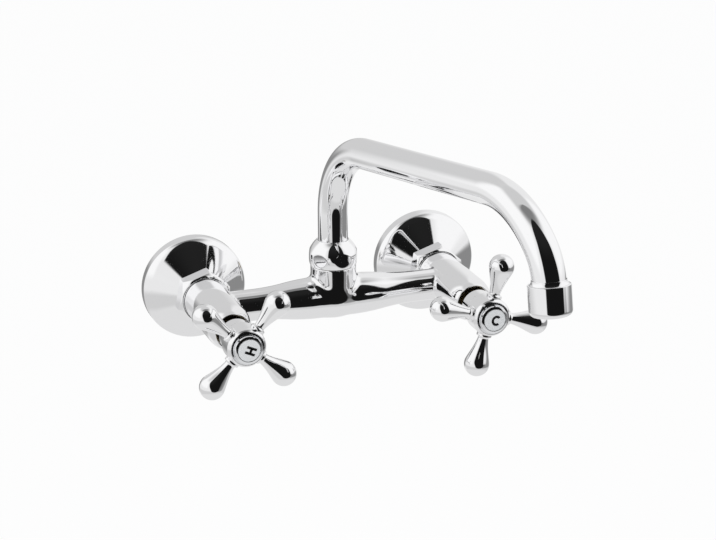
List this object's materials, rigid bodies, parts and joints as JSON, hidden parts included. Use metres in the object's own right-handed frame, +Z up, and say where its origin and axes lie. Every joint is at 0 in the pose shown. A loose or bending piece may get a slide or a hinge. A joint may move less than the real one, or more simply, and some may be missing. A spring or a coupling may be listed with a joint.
{
  "type": "wall-mounted bridge kitchen tap",
  "caption": "Wall-mounted bridge mixer tap in chrome: two barrels with cross handles joined by a swelling bridge, and a swivelling bent tube spout.",
  "frame": {"origin": "on the wall plane, midway between the two inlet barrels' axes", "axes": "+X from the hot side to the cold side, +Y into the wall, -Y towards the user, +Z up"},
  "size_m": [0.2195, 0.3132, 0.161],
  "materials": {
    "chrome_casting": "mirror chrome on cast brass",
    "chrome_pressing": "mirror chrome on pressed brass",
    "chrome_machined": "mirror chrome on turned brass",
    "chrome_tube": "mirror chrome on bent brass tube",
    "chrome_plastic": "chrome-plated plastic",
    "plain_brass": "turned brass",
    "screw_steel": "stainless steel",
    "spring_steel": "spring steel",
    "seal_rubber": "matt rubber",
    "seal_fibre": "pressed fibre",
    "slide_plastic": "white acetal",
    "index_plastic": "satin light grey plastic"
  },
  "bodies": {
    "tap_body": {"mixer_body": "chrome_casting", "spout_collar_nut": "chrome_machined", "spout_slide_ring": "slide_plastic", "hot_wall_flange": "chrome_pressing", "hot_eccentric_union": "plain_brass", "hot_union_washer": "seal_rubber", "hot_union_nut": "chrome_machined", "hot_inlet_nipple": "plain_brass", "hot_bonnet": "plain_brass", "hot_bonnet_gasket": "seal_fibre", "cold_wall_flange": "chrome_pressing", "cold_eccentric_union": "plain_brass", "cold_union_washer": "seal_rubber", "cold_union_nut": "chrome_machined", "cold_inlet_nipple": "plain_brass", "cold_bonnet": "plain_brass", "cold_bonnet_gasket": "seal_fibre"},
    "spout": {"spout_tube": "chrome_tube", "spout_ferrule": "plain_brass", "spout_o_rings": "seal_rubber", "outlet_ferrule": "chrome_machined", "aerator_washer": "seal_rubber", "aerator_insert": "slide_plastic", "aerator_housing": "chrome_machined"},
    "hot_handle": {"hot_spindle": "plain_brass", "hot_spindle_o_rings": "seal_rubber", "hot_spindle_clip": "spring_steel", "hot_cross_handle": "chrome_casting", "hot_handle_screw": "screw_steel", "hot_index_cap": "chrome_plastic", "hot_index_disc": "index_plastic"},
    "hot_valve": {"hot_valve_piston": "plain_brass", "hot_valve_washer": "seal_rubber", "hot_washer_screw": "screw_steel"},
    "cold_handle": {"cold_spindle": "plain_brass", "cold_spindle_o_rings": "seal_rubber", "cold_spindle_clip": "spring_steel", "cold_cross_handle": "chrome_casting", "cold_handle_screw": "screw_steel", "cold_index_cap": "chrome_plastic", "cold_index_disc": "index_plastic"},
    "cold_valve": {"cold_valve_piston": "plain_brass", "cold_valve_washer": "seal_rubber", "cold_washer_screw": "screw_steel"}
  },
  "joints": [
    {"name": "spout_swivel", "type": "hinge", "parent": "tap_body", "child": "spout", "pos_m": [0, -0.0492, 0], "axis": [0, 0, 1], "range_deg": [-106, 88]},
    {"name": "hot_handle_turn", "type": "hinge", "parent": "tap_body", "child": "hot_handle", "pos_m": [-0.075, 0, 0], "axis": [0, -1, 0], "range_deg": [0, 540]},
    {"name": "hot_valve_slide", "type": "slide", "parent": "tap_body", "child": "hot_valve", "axis": [0, -1, 0], "range_m": [0, 0.00376]},
    {"name": "cold_handle_turn", "type": "hinge", "parent": "tap_body", "child": "cold_handle", "pos_m": [0.075, 0, 0], "axis": [0, -1, 0], "range_deg": [0, 540]},
    {"name": "cold_valve_slide", "type": "slide", "parent": "tap_body", "child": "cold_valve", "axis": [0, -1, 0], "range_m": [0, 0.00376]}
  ],
  "couplings": [
    {"joint": "hot_valve_slide", "follows": "hot_handle_turn", "m_per_rad": 0.00039789},
    {"joint": "cold_valve_slide", "follows": "cold_handle_turn", "m_per_rad": 0.00039789}
  ]
}
